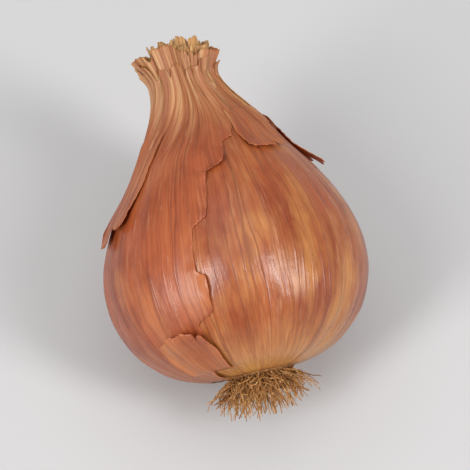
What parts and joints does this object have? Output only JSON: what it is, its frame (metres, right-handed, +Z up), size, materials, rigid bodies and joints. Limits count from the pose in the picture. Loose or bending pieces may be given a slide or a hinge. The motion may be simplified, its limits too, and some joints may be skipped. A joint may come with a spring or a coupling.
{
  "type": "yellow onion",
  "caption": "Small yellow onion lying on its side: copper-brown papery skin with torn flakes, a dried pleated neck and a tuft of dried roots; rests on a small flat spot.",
  "frame": {"origin": "Middle of the small flat spot on the belly that the onion rests on", "axes": "+Z up out of the surface it lies on, +Y level, the way its raised neck points, +X to the right when it is looked at from its root end"},
  "size_m": [0.0517, 0.071, 0.0476],
  "materials": {
    "dry_skin": "satin",
    "dried_roots": "matte"
  },
  "bodies": {
    "root": {"bulb": "dry_skin", "root_tuft": "dried_roots"}
  },
  "joints": []
}
